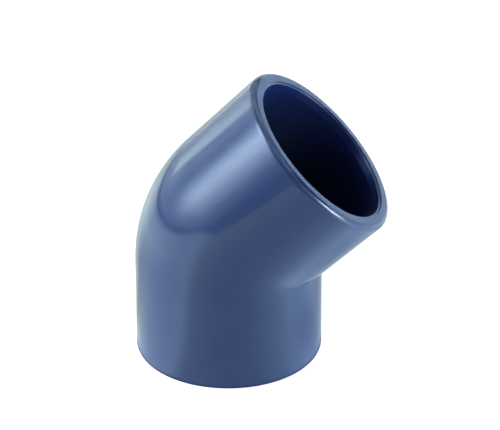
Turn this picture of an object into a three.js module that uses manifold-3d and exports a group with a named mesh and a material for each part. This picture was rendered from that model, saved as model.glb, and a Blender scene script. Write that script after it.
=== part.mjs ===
// PVC-U 45 degree pipe elbow for 50 mm irrigation pipe, with a solvent-weld socket at each end.
//
// The elbow is one injection moulding. It stands on the mouth of its lower socket: the origin is
// the centre of that mouth, +Z runs up the lower socket's axis, and the upper socket leans towards
// +X in the XZ plane. Millimetres.

import * as THREE from 'three';
import { ParametricGeometry } from 'three/addons/geometries/ParametricGeometry.js';
import { mergeVertices } from 'three/addons/utils/BufferGeometryUtils.js';
import Module from 'manifold-3d';

// Overall layout.
const BEND_ANGLE = THREE.MathUtils.degToRad(45);
const LEG_LENGTH = 43; // from a mouth face to the crossing of the two socket axes

// Outside.
const BODY_RADIUS = 30.5; // at the bend
const MOUTH_RADIUS = 30.75; // at the mouth: the outside widens a little towards it, as mould draft
const RIM_FILLET = 2.0; // round on the outer edge of each mouth
const BEND_RADIUS = 27.2; // centre line radius of the outer bend
const CREASE_FILLET = 0.8; // round in the corner where the sockets meet on the inner side

// Sockets.
const SOCKET_DEPTH = 31; // from the mouth face to the pipe stop
const SOCKET_MOUTH_RADIUS = 25.35; // tapers to the pipe stop, for an interference fit on the pipe
const SOCKET_STOP_RADIUS = 24.95;
const LEAD_IN_WIDTH = 0.55; // steep taper that guides the pipe into the socket
const LEAD_IN_DEPTH = 3; // from the mouth face to the lead-in's lower end
const LEDGE_WIDTH = 0.7; // shallow ledge around the opening, just below the mouth face
const LEDGE_DEPTH = 0.45;

// Waterway through the bend.
const BORE_RADIUS = 23;
const BORE_BEND_RADIUS = 20.5; // centre line radius of the bore's outer side
const BORE_CORNER_FILLET = 1.0; // round on the bore's inner corner

// Mesh fineness.
const AROUND = 72; // facets around a socket
const FILLET_STEPS = 6; // facets across a rim fillet
const BEND_STEPS = 12; // facets along the bend
const WELD_TOLERANCE = 1e-4; // vertices nearer than this are one vertex
const CUT_CLEARANCE = 1; // the hollow is cut from this far outside each mouth

const wasm = await Module();
wasm.setup();

// A closed manifold-3d solid from a three.js geometry.
function toSolid(geometry) {
  const bare = geometry.index ? geometry.toNonIndexed() : geometry.clone();
  bare.deleteAttribute('normal');
  bare.deleteAttribute('uv');
  const welded = mergeVertices(bare, WELD_TOLERANCE);
  const mesh = new wasm.Mesh({
    numProp: 3,
    vertProperties: welded.attributes.position.array,
    triVerts: new Uint32Array(welded.index.array),
  });
  return new wasm.Manifold(mesh);
}

// A three.js geometry from a manifold-3d solid.
function toGeometry(solid) {
  const mesh = solid.getMesh();
  const geometry = new THREE.BufferGeometry();
  geometry.setAttribute('position', new THREE.BufferAttribute(mesh.vertProperties, 3));
  geometry.setIndex(new THREE.BufferAttribute(mesh.triVerts, 1));
  const flat = geometry.toNonIndexed();
  flat.computeVertexNormals();
  return flat;
}

// A round solid that runs up the lower axis, turns through the bend and leaves along the upper
// axis. The profile lists its lower leg as [radius, height] pairs, from the axis at the mouth to
// the start of the bend, and the upper leg mirrors it.
//
// Each line along the surface is flat, at one distance from the XZ plane: straight up the lower
// leg, round an arc, and straight again. The arc's radius shrinks from the outer side of the bend
// to the inner side, where it is never less than innerFillet.
function bentSolid({ profile, radius, bendRadius, innerFillet }) {
  const legRows = profile.length;
  const rows = 2 * legRows + BEND_STEPS - 1;
  const crossing = new THREE.Vector3(0, 0, LEG_LENGTH);
  const mirrorNormal = new THREE.Vector3(Math.sin(BEND_ANGLE / 2), 0, Math.cos(BEND_ANGLE / 2));

  const bendPoint = (turn, angle, target) => {
    const side = radius * Math.cos(angle);
    const arcRadius = Math.max(bendRadius - side, innerFillet);
    const arcCentreX = side + arcRadius;
    const arcCentreZ = LEG_LENGTH - arcCentreX * Math.tan(BEND_ANGLE / 2);
    target.set(
      arcCentreX - arcRadius * Math.cos(turn),
      radius * Math.sin(angle),
      arcCentreZ + arcRadius * Math.sin(turn),
    );
  };

  const surface = (u, v, target) => {
    const angle = (u === 1 ? 0 : u) * 2 * Math.PI;
    const row = Math.round(v * rows);
    const isBend = row >= legRows && row <= rows - legRows;
    if (isBend) {
      bendPoint(((row - legRows) / (BEND_STEPS - 1)) * BEND_ANGLE, angle, target);
      return;
    }
    const isUpper = row > rows - legRows;
    const [ringRadius, height] = profile[isUpper ? rows - row : row];
    target.set(ringRadius * Math.cos(angle), ringRadius * Math.sin(angle), height);
    if (isUpper) {
      const fromPlane = target.clone().sub(crossing).dot(mirrorNormal);
      target.addScaledVector(mirrorNormal, -2 * fromPlane);
    }
  };

  return toSolid(new ParametricGeometry(surface, AROUND, rows));
}

// Outside: mouth face, rim fillet, then the drafted wall.
const rimProfile = Array.from({ length: FILLET_STEPS + 1 }, (_, i) => {
  const turn = (i / FILLET_STEPS) * (Math.PI / 2);
  return [
    MOUTH_RADIUS - RIM_FILLET * (1 - Math.sin(turn)),
    RIM_FILLET * (1 - Math.cos(turn)),
  ];
});

const outside = bentSolid({
  profile: [[0, 0], ...rimProfile],
  radius: BODY_RADIUS,
  bendRadius: BEND_RADIUS,
  innerFillet: CREASE_FILLET,
});

// Inside: ledge, lead-in, tapered socket, pipe stop, then the narrower waterway.
const leadInRadius = SOCKET_MOUTH_RADIUS + LEAD_IN_WIDTH;
const inside = bentSolid({
  profile: [
    [0, -CUT_CLEARANCE],
    [leadInRadius + LEDGE_WIDTH, -CUT_CLEARANCE],
    [leadInRadius + LEDGE_WIDTH, LEDGE_DEPTH],
    [leadInRadius, LEDGE_DEPTH],
    [SOCKET_MOUTH_RADIUS, LEAD_IN_DEPTH],
    [SOCKET_STOP_RADIUS, SOCKET_DEPTH],
    [BORE_RADIUS, SOCKET_DEPTH],
  ],
  radius: BORE_RADIUS,
  bendRadius: BORE_BEND_RADIUS,
  innerFillet: BORE_CORNER_FILLET,
});

const elbowBody = new THREE.Mesh(
  toGeometry(outside.subtract(inside)),
  new THREE.MeshStandardMaterial({ color: 0x394e81, roughness: 0.25, metalness: 0 }),
);
elbowBody.name = 'elbow_body';

const elbow = new THREE.Group();
elbow.name = 'pvc_elbow_45';
elbow.add(elbowBody);

export default elbow;
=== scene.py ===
import math

import bpy
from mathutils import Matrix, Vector


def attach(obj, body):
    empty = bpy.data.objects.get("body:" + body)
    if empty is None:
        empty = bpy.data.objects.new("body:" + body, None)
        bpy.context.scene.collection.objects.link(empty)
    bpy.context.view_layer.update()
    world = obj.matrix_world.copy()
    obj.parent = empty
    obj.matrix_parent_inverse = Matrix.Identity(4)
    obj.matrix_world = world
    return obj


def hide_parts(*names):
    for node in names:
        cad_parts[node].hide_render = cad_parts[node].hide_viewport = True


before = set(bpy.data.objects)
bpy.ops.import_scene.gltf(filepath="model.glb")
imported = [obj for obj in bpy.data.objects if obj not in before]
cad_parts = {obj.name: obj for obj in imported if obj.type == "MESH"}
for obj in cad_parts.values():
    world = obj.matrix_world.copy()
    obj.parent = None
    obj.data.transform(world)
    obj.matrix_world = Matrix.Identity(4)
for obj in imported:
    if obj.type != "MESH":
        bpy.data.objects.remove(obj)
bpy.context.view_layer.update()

MM = 0.001

# A 45 degree PVC-U pipe elbow with a solvent-weld socket at each end, on a white studio floor.

# The elbow, in millimetres, as the CAD model has it.
BEND_ANGLE = math.radians(45)
LEG_LENGTH = 43.0
BODY_RADIUS = 30.5
MOUTH_RADIUS = 30.75
RIM_FILLET = 2.0
BEND_RADIUS = 27.2
CREASE_FILLET = 0.8
SOCKET_DEPTH = 31.0
SOCKET_MOUTH_RADIUS = 25.35
SOCKET_STOP_RADIUS = 24.95
LEAD_IN_WIDTH = 0.55
LEAD_IN_DEPTH = 3.0
LEDGE_WIDTH = 0.7
LEDGE_DEPTH = 0.45
BORE_RADIUS = 23.0
BORE_BEND_RADIUS = 20.5
BORE_CORNER_FILLET = 1.0

# Fine edges that only the visual model has, in millimetres.
FACE_EDGE_FILLET = 0.1  # on the mouth face's inner edge
LEDGE_CORNER_FILLET = 0.08  # at the back of the ledge
LEDGE_EDGE_FILLET = 0.2  # between the ledge and the lead-in
LEAD_IN_FILLET = 4.0  # between the lead-in and the socket wall
STOP_CORNER_FILLET = 0.4  # at the foot of the pipe stop
STOP_EDGE_FILLET = 0.3  # between the pipe stop and the waterway
FILLET_BLEND = 0.4  # how softly the crease fillet grows into the bend
PARTING_LINE_WIDTH = 0.12  # half width of the mould's parting line
PARTING_LINE_HEIGHT = 0.03  # at the bend: it dies away towards the mouths
PARTING_LINE_SINE = 1e-6  # a point whose angle has a smaller sine is on the parting line

# Where the mesh's rows lie, in millimetres.
OUTSIDE_START = 1.2  # from the opening's edge to the outside's first row, on the mouth face
INSIDE_START = 1.0  # from the opening's edge to the inside's first row, on the mouth face
DRAFT_START = 1.0  # from the rim fillet to the row where the outside's plain wall starts
DRAFT_AT_START = 0.02  # how much narrower than the mouth the outside is there
BORE_START = 0.8  # from the pipe stop to the row where the waterway's plain wall starts
SUPPORT = 0.06  # distance of the extra row that keeps a wall flat beside a fillet

# Mesh fineness.
AROUND = 240
BEND_STEPS = 36
WALL_STEPS = (0.002, 0.25, 0.5, 0.75, 0.985)  # rows along a plain wall, as shares of its length
FILLET_STEP = math.radians(9)
FEWEST_FILLET_STEPS = 4

# Depths below a mouth, in millimetres.
DULL_START = 0.5  # where the hollow's duller finish and its painted shade start
DULL_FULL = 0.9  # where it is fully dull and its painted shade reaches its first step
FULL_DEPTH = 12.0  # where its painted shade is deepest

# The photograph's view. Distances are in metres, and the lens and its sensor in millimetres.
CAMERA_AZIMUTH = math.radians(10.9)
CAMERA_ELEVATION = math.radians(26.8)
CAMERA_DISTANCE = 0.5972
CAMERA_AIM_RIGHT = 0.0070
CAMERA_AIM_UP = 0.0040
CAMERA_LENS = 132.6
CAMERA_SENSOR = 36.0
CAMERA_NEAREST = 0.01


# ---------------------------------------------------------------- shape

def soft_max(a, b, blend):
    """The larger of a and b, with a smooth change from one to the other."""
    return 0.5 * (a + b + math.sqrt((a - b) ** 2 + blend * blend))


def rounded(corners):
    """Points along a profile of (radius, height, fillet) corners, each corner turned in an arc."""
    points = [Vector(corners[0][:2])]
    for before, corner, after in zip(corners, corners[1:], corners[2:]):
        here = Vector(corner[:2])
        fillet = corner[2]
        towards = (Vector(before[:2]) - here).normalized()
        away = (Vector(after[:2]) - here).normalized()
        half = towards.angle(away) / 2
        reach = fillet / math.tan(half)
        centre = here + (towards + away).normalized() * fillet / math.sin(half)
        turn = math.pi - 2 * half
        steps = max(FEWEST_FILLET_STEPS, round(turn / FILLET_STEP))
        start = here + towards * reach - centre
        side = 1 if start.y * towards.x - start.x * towards.y > 0 else -1
        points.append(here + towards * (reach + SUPPORT))
        for i in range(steps + 1):
            angle = side * turn * i / steps
            cos, sin = math.cos(angle), math.sin(angle)
            turned = Vector((start.x * cos - start.y * sin, start.x * sin + start.y * cos))
            points.append(centre + turned)
        points.append(here + away * (reach + SUPPORT))
    points.append(Vector(corners[-1][:2]))
    return points


def to_upper(point):
    """The mirror of a lower point in the plane where the two sockets meet."""
    normal = Vector((math.sin(BEND_ANGLE / 2), 0, math.cos(BEND_ANGLE / 2)))
    crossing = Vector((0, 0, LEG_LENGTH))
    return point - 2 * (point - crossing).dot(normal) * normal


def bend_ring(turn, angles, wall_radius, bend_radius, fillet, ridge):
    """The ring at one turn into the bend, with the parting line's ridge on its inner and outer
    side. Each point's arc is tighter the nearer it is to the inner side."""
    ring = []
    for angle in angles:
        on_parting_line = abs(math.sin(angle)) < PARTING_LINE_SINE
        radius = wall_radius + (ridge if on_parting_line else 0)
        side = radius * math.cos(angle)
        arc = soft_max(bend_radius - side, fillet, FILLET_BLEND)
        centre_x = side + arc
        centre_z = LEG_LENGTH - centre_x * math.tan(BEND_ANGLE / 2)
        ring.append(Vector((
            centre_x - arc * math.cos(turn),
            radius * math.sin(angle),
            centre_z + arc * math.sin(turn),
        )))
    return ring


def leg_rings(profile, angles):
    """The profile turned about the lower axis: a ring for each of its points."""
    return [[Vector((p.x * math.cos(a), p.x * math.sin(a), p.y)) for a in angles] for p in profile]


def between(ring_a, ring_b, shares):
    """Rings at the given shares of the way from one ring to another."""
    return [[a.lerp(b, t) for a, b in zip(ring_a, ring_b)] for t in shares]


def side_rings(profile, angles, radius, bend_radius, fillet, ridge=0):
    """Rings from the lower mouth, up the leg, through the bend and out along the upper leg."""
    leg = leg_rings(profile, angles)
    bend = [bend_ring(BEND_ANGLE * i / BEND_STEPS, angles, radius, bend_radius, fillet, ridge)
            for i in range(BEND_STEPS + 1)]
    lower = leg + between(leg[-1], bend[0], WALL_STEPS)
    upper = [[to_upper(p) for p in ring] for ring in reversed(lower)]
    return lower + bend + upper


def ring_angles():
    """Even steps around, with extra ones at the parting line on the inner and outer side."""
    angles = [2 * math.pi * i / AROUND for i in range(AROUND)]
    line = PARTING_LINE_WIDTH / BODY_RADIUS
    for middle in (0, math.pi):
        for offset in (-2 * line, -line, line, 2 * line):
            angles.append((middle + offset) % (2 * math.pi))
    return sorted(angles)


def depth_share(point):
    """0 at a mouth, rising to 1 at FULL_DEPTH below it."""
    return min(max(min(point.z, to_upper(point).z) / FULL_DEPTH, 0.0), 1.0)


def elbow_mesh():
    """One closed skin: up the outside, over the upper mouth, down the inside and back."""
    angles = ring_angles()
    lead_in_radius = SOCKET_MOUTH_RADIUS + LEAD_IN_WIDTH
    opening_radius = lead_in_radius + LEDGE_WIDTH
    outer_profile = rounded([
        (opening_radius + OUTSIDE_START, 0, 0),
        (MOUTH_RADIUS, 0, RIM_FILLET),
        (MOUTH_RADIUS - DRAFT_AT_START, RIM_FILLET + DRAFT_START, 0),
    ])
    inner_profile = rounded([
        (opening_radius + INSIDE_START, 0, 0),
        (opening_radius, 0, FACE_EDGE_FILLET),
        (opening_radius, LEDGE_DEPTH, LEDGE_CORNER_FILLET),
        (lead_in_radius, LEDGE_DEPTH, LEDGE_EDGE_FILLET),
        (SOCKET_MOUTH_RADIUS, LEAD_IN_DEPTH, LEAD_IN_FILLET),
        (SOCKET_STOP_RADIUS, SOCKET_DEPTH, STOP_CORNER_FILLET),
        (BORE_RADIUS, SOCKET_DEPTH, STOP_EDGE_FILLET),
        (BORE_RADIUS, SOCKET_DEPTH + BORE_START, 0),
    ])
    outer = side_rings(outer_profile, angles, BODY_RADIUS, BEND_RADIUS, CREASE_FILLET,
                       ridge=PARTING_LINE_HEIGHT)
    inner = side_rings(inner_profile, angles, BORE_RADIUS, BORE_BEND_RADIUS, BORE_CORNER_FILLET)
    rings = outer + inner[::-1]
    points = [point for ring in rings for point in ring]

    around = len(angles)
    faces = []
    for r in range(len(rings)):
        low = r * around
        high = ((r + 1) % len(rings)) * around
        for i in range(around):
            j = (i + 1) % around
            faces.append((low + i, low + j, high + j, high + i))
    mesh = bpy.data.meshes.new("elbow_moulding")
    mesh.from_pydata([point * MM for point in points], [], faces)
    mesh.validate()
    mesh.shade_smooth()

    depth = mesh.attributes.new("depth", "FLOAT", "POINT")
    inside_from = len(outer) * around
    depth.data.foreach_set("value", [
        depth_share(point) if i >= inside_from else 0.0 for i, point in enumerate(points)])
    return mesh


elbow = bpy.data.objects.new("elbow_moulding", elbow_mesh())
bpy.context.scene.collection.objects.link(elbow)
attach(elbow, "root")
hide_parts("elbow_body")


# ---------------------------------------------------------------- shader nodes

def fill(tree, node, inputs):
    """Sets a node's inputs. Each is a value, or the output of another node."""
    for name, value in inputs.items():
        if isinstance(value, bpy.types.NodeSocket):
            tree.links.new(value, node.inputs[name])
        else:
            node.inputs[name].default_value = value


def add_node(tree, kind, inputs=None, **settings):
    """A new node with the given settings and inputs."""
    node = tree.nodes.new(kind)
    for name, value in settings.items():
        setattr(node, name, value)
    fill(tree, node, inputs or {})
    return node


def arithmetic(tree, operation, *values):
    node = add_node(tree, "ShaderNodeMath", dict(enumerate(values)), operation=operation)
    return node.outputs["Value"]


def remap(tree, value, low, high, to_low, to_high):
    """A smooth step from to_low, where the value is low, to to_high, where it is high."""
    node = add_node(tree, "ShaderNodeMapRange", {
        "Value": value, "From Min": low, "From Max": high, "To Min": to_low, "To Max": to_high,
    }, interpolation_type="SMOOTHSTEP")
    return node.outputs["Result"]


def noise(tree, coords, scale, detail, roughness=0.5, distortion=0.0):
    """A noise between 0 and 1. The scale is in features per metre."""
    node = add_node(tree, "ShaderNodeTexNoise", {
        "Vector": coords, "Scale": scale, "Detail": detail,
        "Roughness": roughness, "Distortion": distortion,
    })
    return node.outputs["Fac"]


def bump(tree, height, distance, under=None):
    """A bumped normal, on top of the bumps under it."""
    node = add_node(tree, "ShaderNodeBump", {"Height": height, "Distance": distance})
    if under:
        fill(tree, node, {"Normal": under})
    return node.outputs["Normal"]


def colour_ramp(tree, value, stops, interpolation="LINEAR"):
    """A colour that runs through (position, colour) stops as the value rises."""
    node = add_node(tree, "ShaderNodeValToRGB", {"Fac": value})
    node.color_ramp.interpolation = interpolation
    elements = node.color_ramp.elements
    for element, (position, colour) in zip(elements, (stops[0], stops[-1])):
        element.position = position
        element.color = (*colour, 1)
    for position, colour in stops[1:-1]:
        elements.new(position).color = (*colour, 1)
    return node.outputs["Color"]


# ---------------------------------------------------------------- material

REFRACTIVE_INDEX = 1.5
MOTTLE_STOPS = ((0.3, (0.0395, 0.0710, 0.2120)), (0.7, (0.0445, 0.0790, 0.2320)))

# Painted shade in the hollow, multiplied into its colour: none at the mouth, then where it is
# fully dull, and where it is deepest.
NO_PAINTED_SHADE = (1, 1, 1)
FULLY_DULL_PAINTED_SHADE = (0.34, 0.46, 0.72)
DEEPEST_PAINTED_SHADE = (0.60, 0.50, 0.28)

SPECULAR = 0.5
DULL_SPECULAR = 0.12
HAZE_ROUGHNESS = (0.085, 0.145)
SCUFF_ROUGHNESS = 0.12
DULL_ROUGHNESS = 0.2

# Noise scales, in features per metre.
MOTTLE_SCALE = 60
SCUFF_SCALE = 90
SCUFF_PATCH_SCALE = 38
HAZE_SCALE = 34
SINK_SCALE = 55
PEEL_SCALE = 900

# The values of a noise between which its effect changes.
NOISE_MIDDLE = 0.5
HAZE_RANGE = (0.3, 0.75)
SCUFF_PATCH_RANGE = (0.54, 0.70)
SCUFF_HALF_WIDTH = 0.012

# The scuffs run along two directions. Each stretch squeezes a noise along X, Y, Z.
SCUFF_STRETCHES = ((1.0, 14.0, 14.0), (12.0, 1.0, 9.0))
SCUFF_ROTATION = (0.4, 0.9, 0.6)
SCUFF_WANDER = 0.4

# Heights of the bumps, in metres.
SINK_HEIGHT = 0.00003
PEEL_HEIGHT = 0.000004
SCUFF_HEIGHT = -0.000006


def scuff_lines(tree, coords):
    """Hairline scuffs: the middles of two stretched noises that cross each other, in patches."""
    lines = []
    for stretch in SCUFF_STRETCHES:
        mapping = add_node(tree, "ShaderNodeMapping", {
            "Vector": coords, "Scale": stretch, "Rotation": SCUFF_ROTATION,
        })
        streaks = noise(tree, mapping.outputs["Vector"], SCUFF_SCALE, detail=2,
                        distortion=SCUFF_WANDER)
        offset = arithmetic(tree, "SUBTRACT", streaks, NOISE_MIDDLE)
        off_middle = arithmetic(tree, "ABSOLUTE", offset)
        lines.append(remap(tree, off_middle, 0.0, SCUFF_HALF_WIDTH, 1.0, 0.0))
    patches = remap(tree, noise(tree, coords, SCUFF_PATCH_SCALE, detail=2),
                    *SCUFF_PATCH_RANGE, 0.0, 1.0)
    return arithmetic(tree, "MULTIPLY", arithmetic(tree, "MAXIMUM", *lines), patches)


def pvc_material():
    """Glossy moulded PVC-U: a faint mottle, soft sink waves, orange peel and hairline scuffs.

    The hollow is duller: the mould's cores are not polished. Its colour darkens with depth as
    painted shade.
    """
    mat = bpy.data.materials.new("pvc_dark_grey")
    mat.use_nodes = True
    tree = mat.node_tree
    coords = add_node(tree, "ShaderNodeTexCoord").outputs["Object"]
    depth = add_node(tree, "ShaderNodeAttribute", attribute_name="depth").outputs["Fac"]
    dull = (DULL_START / FULL_DEPTH, DULL_FULL / FULL_DEPTH)

    mottle = colour_ramp(tree, noise(tree, coords, MOTTLE_SCALE, detail=5, roughness=0.6),
                         MOTTLE_STOPS)
    # Painted shade: the hollow's colour darkens and shifts with depth below each mouth.
    painted_shade_stops = ((dull[0], NO_PAINTED_SHADE), (dull[1], FULLY_DULL_PAINTED_SHADE), (1, DEEPEST_PAINTED_SHADE))
    with_painted_shade = add_node(tree, "ShaderNodeMix", {
        "Factor": 1, "A": mottle, "B": colour_ramp(tree, depth, painted_shade_stops, "EASE"),
    }, data_type="RGBA", blend_type="MULTIPLY")

    scuffs = scuff_lines(tree, coords)
    haze = remap(tree, noise(tree, coords, HAZE_SCALE, detail=6, roughness=0.65),
                 *HAZE_RANGE, *HAZE_ROUGHNESS)
    worn = arithmetic(tree, "ADD", haze, arithmetic(tree, "MULTIPLY", scuffs, SCUFF_ROUGHNESS))
    dullness = remap(tree, depth, *dull, 0.0, DULL_ROUGHNESS)

    sink = bump(tree, noise(tree, coords, SINK_SCALE, detail=1), SINK_HEIGHT)
    peel = bump(tree, noise(tree, coords, PEEL_SCALE, detail=3), PEEL_HEIGHT, under=sink)

    shader = tree.nodes["Principled BSDF"]
    fill(tree, shader, {
        "Base Color": with_painted_shade.outputs["Result"],
        "IOR": REFRACTIVE_INDEX,
        "Specular IOR Level": remap(tree, depth, *dull, SPECULAR, DULL_SPECULAR),
        "Roughness": arithmetic(tree, "ADD", worn, dullness),
        "Normal": bump(tree, scuffs, SCUFF_HEIGHT, under=peel),
    })
    tree.nodes.active = shader
    return mat


elbow.data.materials.append(pvc_material())


# ---------------------------------------------------------------- studio
# Distances are in metres from the centre of the elbow's foot.

RING_STEPS = 72
FLOOR_HALF = 4.0
FLOOR_GREY = 0.4
FLOOR_ROUGHNESS = 0.8
FLOOR_GLOW = 0.95
BOUNCE_HEIGHT = -0.003
BOUNCE_GLOW = 0.79
BACKDROP_RADIUS = 3.9
BACKDROP_LOW = -0.01
BACKDROP_HIGH = 4.0
BACKDROP_GLOW = 1.0
WORLD_GLOW = 0.02
WHITE = (1.0, 1.0, 1.0)
COOL = (0.80, 1.0, 1.45)


def square(half):
    """The corners of a square around the elbow."""
    return ((-half, -half), (half, -half), (half, half), (-half, half))


# The cards' colours, by azimuth in degrees round the elbow: 0 is behind it, 90 on its right,
# -90 on its left and 180 in front of it.
TABLE_STOPS = (
    (-180, (0.36, 0.48, 0.42)),
    (-165, (0.45, 0.62, 0.45)),
    (-154, (0.62, 0.80, 0.50)),
    (-142, (1.30, 1.75, 2.00)),
    (-127, (1.15, 1.50, 1.80)),
    (-100, (0.95, 1.30, 1.42)),
    (-86, (0.92, 1.14, 1.00)),
    (-72, (0.60, 0.72, 0.60)),
    (-54, (0.95, 1.05, 0.90)),
    (-36, (0.60, 0.72, 0.68)),
    (0, (0.60, 0.72, 0.68)),
    (30, (0.60, 0.73, 0.72)),
    (56, (0.60, 0.74, 0.80)),
    (76, (0.62, 0.82, 0.96)),
    (90, (0.70, 1.02, 1.35)),
    (104, (1.05, 1.50, 1.90)),
    (116, (1.10, 1.62, 1.95)),
    (128, (0.85, 1.28, 1.45)),
    (146, (0.58, 0.82, 0.92)),
    (164, (0.40, 0.50, 0.50)),
    (180, (0.36, 0.48, 0.42)),
)
FAR_TABLE_STOPS = (
    (-180, (0.10, 0.18, 0.05)),
    (-150, (0.10, 0.15, 0.05)),
    (-125, (0.35, 0.50, 0.60)),
    (-100, (0.80, 1.05, 1.20)),
    (-70, (0.90, 1.22, 1.25)),
    (-45, (0.70, 0.95, 0.80)),
    (-32, (0.20, 0.28, 0.15)),
    (-15, (0.10, 0.12, 0.10)),
    (10, (0.15, 0.17, 0.16)),
    (35, (0.85, 1.05, 1.20)),
    (60, (0.95, 1.20, 1.40)),
    (84, (1.30, 1.65, 1.95)),
    (98, (2.0, 2.5, 3.0)),
    (112, (2.0, 2.5, 3.0)),
    (124, (0.05, 0.08, 0.05)),
    (180, (0.10, 0.18, 0.05)),
)
RIGHT_TABLE_STOPS = (
    (-180, (0, 0, 0)),
    (52, (0, 0, 0)),
    (68, (0.40, 0.60, 0.75)),
    (104, (0.40, 0.60, 0.75)),
    (116, (0, 0, 0)),
    (180, (0, 0, 0)),
)
CEILING_STOPS = (
    (-180, (0.90, 1.35, 1.55)),
    (180, (0.90, 1.35, 1.55)),
)
WALL_LEFT_STOPS = (
    (-180, (0.10, 0.10, 0.10)),
    (-158, (0.12, 0.12, 0.12)),
    (-146, (0.40, 0.62, 0.88)),
    (-139, (0.78, 1.10, 1.40)),
    (-131, (0.90, 1.22, 1.48)),
    (-86, (0.90, 1.20, 1.45)),
    (-66, (0.95, 1.25, 1.30)),
    (-45, (1.00, 1.22, 1.18)),
    (-39, (1.00, 1.20, 1.16)),
    (-33, (0, 0, 0)),
    (180, (0, 0, 0)),
)
WALL_BACK_STOPS = (
    (-180, (0, 0, 0)),
    (-39, (0, 0, 0)),
    (-33, (1.10, 1.25, 1.20)),
    (-22, (1.10, 1.20, 1.18)),
    (0, (1.05, 1.15, 1.12)),
    (14, (0.90, 1.25, 1.60)),
    (40, (0.90, 1.30, 1.70)),
    (60, (1.40, 1.75, 2.05)),
    (90, (1.60, 2.05, 2.50)),
    (115, (1.50, 2.00, 2.50)),
    (130, (0.80, 1.05, 1.20)),
    (145, (0.30, 0.35, 0.35)),
    (160, (0.10, 0.10, 0.10)),
    (180, (0.10, 0.10, 0.10)),
)
BACK_HIGH_STOPS = (
    (-180, (0, 0, 0)),
    (-52, (0, 0, 0)),
    (-40, (0.75, 0.90, 1.00)),
    (30, (0.75, 0.90, 1.00)),
    (48, (0, 0, 0)),
    (180, (0, 0, 0)),
)
GAP_STOPS = (
    (-180, (0, 0, 0)),
    (-160, (0, 0, 0)),
    (-150, (0.15, 0.35, 0.65)),
    (-128, (0.15, 0.35, 0.65)),
    (-115, (0, 0, 0)),
    (180, (0, 0, 0)),
)
LEFT_STOPS = (
    (-180, (0, 0, 0)),
    (-143, (0, 0, 0)),
    (-131, (0.40, 0.50, 0.65)),
    (-120, (0.60, 0.80, 1.00)),
    (-100, (0.55, 0.70, 0.90)),
    (-86, (0.20, 0.35, 0.55)),
    (-66, (0.60, 0.80, 0.95)),
    (-55, (0.55, 0.65, 0.65)),
    (-45, (0.25, 0.35, 0.35)),
    (-37, (0, 0, 0)),
    (180, (0, 0, 0)),
)
KEY_STOPS = (
    (-180, (0, 0, 0)),
    (-143, (0, 0, 0)),
    (-137, (1.8, 2.8, 3.8)),
    (-131, (4.8, 6.6, 8.6)),
    (-123, (6.8, 8.9, 11.4)),
    (-116, (8.9, 11.3, 13.9)),
    (-107, (8.3, 10.5, 12.9)),
    (-101, (4.8, 6.3, 8.0)),
    (-94, (1.4, 2.0, 2.6)),
    (-87, (0, 0, 0)),
    (180, (0, 0, 0)),
)
STRIP_STOPS = (
    (-180, (0, 0, 0)),
    (-64.6, (0, 0, 0)),
    (-64, (1.6, 2.0, 2.1)),
    (-57, (1.35, 1.70, 1.65)),
    (-52, (0.75, 0.90, 0.85)),
    (-46, (0.25, 0.35, 0.30)),
    (-38, (0.15, 0.20, 0.15)),
    (-34, (0, 0, 0)),
    (180, (0, 0, 0)),
)
RIGHT_STOPS = (
    (-180, (0, 0, 0)),
    (96, (0, 0, 0)),
    (106, (1.1, 1.3, 1.6)),
    (138, (1.1, 1.3, 1.6)),
    (148, (0, 0, 0)),
    (180, (0, 0, 0)),
)
RIGHT_KEY_STOPS = (
    (-180, (0, 0, 0)),
    (84, (0, 0, 0)),
    (94, (13.5, 16, 18.5)),
    (106, (13.5, 16, 18.5)),
    (116, (0, 0, 0)),
    (180, (0, 0, 0)),
)

# The kinds of ray that don't see a card.
ALL_BUT_REFLECTIONS = ("camera", "diffuse", "shadow", "transmission")

# Flat cards: outline, height, colours, and the distances from the elbow between which each card
# fades in and then out. The lower three are just under the floor.
TABLE_OUTLINE = ((-0.89, -0.25), (-0.60, -0.66), (-0.12, -0.30), (0.89, -0.30), (0.89, 1.6),
                 (-0.89, 1.6))
CEILING_OUTLINE = ((-0.4, -1.4), (2.0, -1.4), (2.0, 1.8), (-0.4, 1.8))
FLAT_CARDS = (
    ("table_card", TABLE_OUTLINE, -0.002, TABLE_STOPS, (0.031, 0.036, 2.0, 2.1)),
    ("far_table_card", square(0.89), -0.001, FAR_TABLE_STOPS, (0.07, 0.24, 0.80, 0.90)),
    ("right_table_card", square(0.2), -0.0005, RIGHT_TABLE_STOPS, (0.052, 0.080, 0.12, 0.17)),
    ("ceiling_card", CEILING_OUTLINE, 2.0, CEILING_STOPS, None),
)

# Upright cards that ring the elbow: radius, colours, and the heights between which each card
# fades in and then out.
RING_CARDS = (
    ("wall_left_card", 0.90, WALL_LEFT_STOPS, (0.042, 0.046, 1.60, 2.10)),
    ("wall_back_card", 0.91, WALL_BACK_STOPS, (-0.002, 0.002, 0.30, 0.40)),
    ("back_high_card", 0.92, BACK_HIGH_STOPS, (0.40, 0.50, 1.60, 2.10)),
    ("gap_card", 0.88, GAP_STOPS, (-0.002, 0.002, 0.04, 0.05)),
    ("left_card", 0.89, LEFT_STOPS, (0.12, 0.19, 1.60, 2.10)),
    ("key_card", 0.86, KEY_STOPS, (0.03, 0.60, 1.40, 2.00)),
    ("strip_card", 0.85, STRIP_STOPS, (0.17, 0.18, 0.80, 1.00)),
    ("right_card", 0.84, RIGHT_STOPS, (0.30, 0.40, 0.52, 0.64)),
    ("right_key_card", 0.83, RIGHT_KEY_STOPS, (-0.002, 0.02, 0.30, 0.45)),
)

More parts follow.
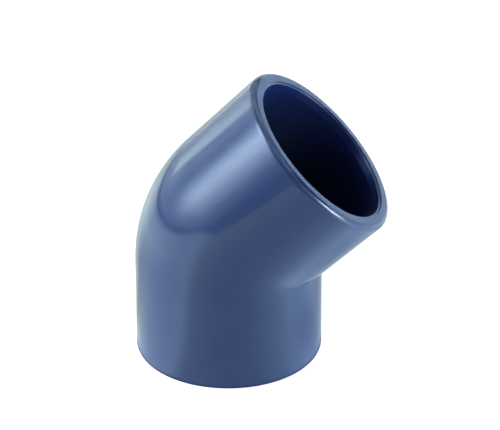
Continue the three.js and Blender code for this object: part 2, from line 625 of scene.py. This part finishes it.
# Soft lights: two opposite corners, the point that the light faces, its radiance and its colour.
SOFTBOXES = (
    ("left_panel", (-0.9, -0.85, 0.03), (-0.9, 1.40, 0.60), (0, -0.05, 0.315), 1.45, WHITE),
    ("left_key", (-0.86, -0.58, 0.12), (-0.86, -0.13, 0.42), (0, -0.355, 0.27), 5.5, WHITE),
    ("right_panel", (0.9, -0.35, 0.0), (0.9, 0.55, 0.35), (0, 0.1, 0.175), 3.2, COOL),
    ("back_panel", (-0.9, 1.62, 0.0), (1.8, 1.62, 1.0), (0.0, 0, 0.5), 1.4, WHITE),
    ("high_left", (-1.7, 0.2, 1.0), (-1.0, 1.2, 1.7), (0, 0, 0), 2.4, WHITE),
    ("high_front", (-1.3, -0.6, 0.7), (-0.7, -1.1, 1.3), (0, 0, 0), 6.0, WHITE),
)


def stage_mesh(name, points, faces, material, hidden_from):
    """A studio surface that the listed kinds of ray don't see."""
    mesh = bpy.data.meshes.new(name)
    mesh.from_pydata(points, [], faces)
    mesh.materials.append(material)
    ob = bpy.data.objects.new(name, mesh)
    bpy.context.scene.collection.objects.link(ob)
    for ray in hidden_from:
        setattr(ob, f"visible_{ray}", False)


def flat_panel(name, outline, height, material, hidden_from):
    """A level panel with the given outline."""
    points = [(x, y, height) for x, y in outline]
    stage_mesh(name, points, [tuple(range(len(points)))], material, hidden_from)


def ring_wall(name, radius, low, high, material, hidden_from):
    """An upright wall all round the elbow."""
    points = []
    for i in range(RING_STEPS):
        angle = 2 * math.pi * i / RING_STEPS
        x, y = radius * math.sin(angle), radius * math.cos(angle)
        points += [(x, y, low), (x, y, high)]
    count = len(points)
    faces = [(i, i + 1, (i + 3) % count, (i + 2) % count) for i in range(0, count, 2)]
    stage_mesh(name, points, faces, material, hidden_from)


def bare_material(name):
    """A material with no nodes."""
    mat = bpy.data.materials.new(name)
    mat.use_nodes = True
    mat.node_tree.nodes.clear()
    return mat


def floor_material():
    mat = bpy.data.materials.new("studio_floor")
    mat.use_nodes = True
    fill(mat.node_tree, mat.node_tree.nodes["Principled BSDF"], {
        "Base Color": (FLOOR_GREY, FLOOR_GREY, FLOOR_GREY, 1),
        "Roughness": FLOOR_ROUGHNESS,
        "Emission Color": (1, 1, 1, 1),
        "Emission Strength": FLOOR_GLOW,
    })
    return mat


def glow_material(name, radiance):
    mat = bare_material(name)
    tree = mat.node_tree
    glow = add_node(tree, "ShaderNodeEmission", {"Strength": radiance})
    add_node(tree, "ShaderNodeOutputMaterial", {"Surface": glow.outputs["Emission"]})
    return mat


def azimuth_colour(tree, position, stops, brightest):
    """The colour at a point's azimuth, as a share of the brightest."""
    azimuth = arithmetic(tree, "ARCTAN2", position.outputs["X"], position.outputs["Y"])
    turn = add_node(tree, "ShaderNodeMapRange", {
        "Value": azimuth, "From Min": -math.pi, "From Max": math.pi,
    })
    return colour_ramp(tree, turn.outputs["Result"], [
        ((degrees + 180) / 360, [c / brightest for c in colour]) for degrees, colour in stops])


def card_material(name, stops, edges, is_flat):
    """A glowing card. One with edges fades in from the first to the second and out from the third
    to the fourth, by distance from the elbow on a flat card and by height on an upright one, and
    lets what is behind it through."""
    brightest = max(max(colour) for _, colour in stops)
    mat = bare_material(name)
    tree = mat.node_tree
    coords = add_node(tree, "ShaderNodeTexCoord").outputs["Object"]
    position = add_node(tree, "ShaderNodeSeparateXYZ", {"Vector": coords})
    glow = add_node(tree, "ShaderNodeEmission", {
        "Color": azimuth_colour(tree, position, stops, brightest), "Strength": brightest,
    })
    surface = glow.outputs["Emission"]
    if edges:
        along = position.outputs["Z"]
        if is_flat:
            length = add_node(tree, "ShaderNodeVectorMath", {0: coords}, operation="LENGTH")
            along = length.outputs["Value"]
        fade_in = remap(tree, along, edges[0], edges[1], 0.0, 1.0)
        fade_out = remap(tree, along, edges[3], edges[2], 0.0, 1.0)
        window = arithmetic(tree, "MULTIPLY", fade_in, fade_out)
        fill(tree, glow, {"Strength": arithmetic(tree, "MULTIPLY", window, brightest)})
        clear = add_node(tree, "ShaderNodeBsdfTransparent").outputs["BSDF"]
        surface = add_node(tree, "ShaderNodeAddShader", {0: surface, 1: clear}).outputs["Shader"]
    add_node(tree, "ShaderNodeOutputMaterial", {"Surface": surface})
    return mat


def softbox(name, low, high, towards, radiance, colour):
    """A soft light: a rectangle as wide and as tall as its corners are apart, facing a point."""
    low, high = Vector(low), Vector(high)
    centre = (low + high) / 2
    facing = (Vector(towards) - centre).normalized()
    light = bpy.data.lights.new(name, "AREA")
    light.shape = "RECTANGLE"
    across = Vector((high.x - low.x, high.y - low.y, 0)).length
    tall = high.z - low.z
    light.size = across
    light.size_y = tall
    light.energy = radiance * math.pi * across * tall
    light.color = colour
    lamp = bpy.data.objects.new(name, light)
    lamp.location = centre
    lamp.rotation_euler = facing.to_track_quat("-Z", "Y").to_euler()
    lamp.visible_camera = False
    lamp.visible_glossy = False
    bpy.context.scene.collection.objects.link(lamp)


# The floor and backdrop are seen by the camera, the bounce lights the elbow from below, and the
# cards are seen only in reflections.
flat_panel("studio_floor", square(FLOOR_HALF), 0, floor_material(), ("glossy", "diffuse"))
flat_panel("floor_bounce", square(FLOOR_HALF), BOUNCE_HEIGHT,
           glow_material("floor_bounce", BOUNCE_GLOW),
           ("camera", "glossy", "shadow", "transmission"))
ring_wall("studio_backdrop", BACKDROP_RADIUS, BACKDROP_LOW, BACKDROP_HIGH,
          glow_material("studio_backdrop", BACKDROP_GLOW), ("diffuse", "glossy", "shadow"))
for name, outline, height, stops, edges in FLAT_CARDS:
    flat_panel(name, outline, height, card_material(name, stops, edges, is_flat=True),
               ALL_BUT_REFLECTIONS)
for name, radius, stops, edges in RING_CARDS:
    ring_wall(name, radius, edges[0], edges[3], card_material(name, stops, edges, is_flat=False),
              ALL_BUT_REFLECTIONS)
for name, low, high, towards, radiance, colour in SOFTBOXES:
    softbox(name, low, high, towards, radiance, colour)

world = bpy.data.worlds.new("studio")
world.use_nodes = True
fill(world.node_tree, world.node_tree.nodes["Background"], {
    "Color": (1, 1, 1, 1),
    "Strength": WORLD_GLOW,
})
bpy.context.scene.world = world


# ---------------------------------------------------------------- camera

camera = bpy.data.objects.new("camera", bpy.data.cameras.new("camera"))
camera.data.lens = CAMERA_LENS
camera.data.sensor_width = CAMERA_SENSOR
camera.data.clip_start = CAMERA_NEAREST
crossing = Vector((0, 0, LEG_LENGTH * MM))
back = Vector((
    math.sin(CAMERA_AZIMUTH) * math.cos(CAMERA_ELEVATION),
    -math.cos(CAMERA_AZIMUTH) * math.cos(CAMERA_ELEVATION),
    math.sin(CAMERA_ELEVATION),
))
right = Vector((math.cos(CAMERA_AZIMUTH), math.sin(CAMERA_AZIMUTH), 0))
up = back.cross(right)
camera.location = crossing + back * CAMERA_DISTANCE
aim = crossing + right * CAMERA_AIM_RIGHT + up * CAMERA_AIM_UP
camera.rotation_euler = (aim - camera.location).to_track_quat("-Z", "Y").to_euler()
bpy.context.scene.collection.objects.link(camera)
bpy.context.scene.camera = camera

bpy.context.scene.view_settings.view_transform = "Standard"
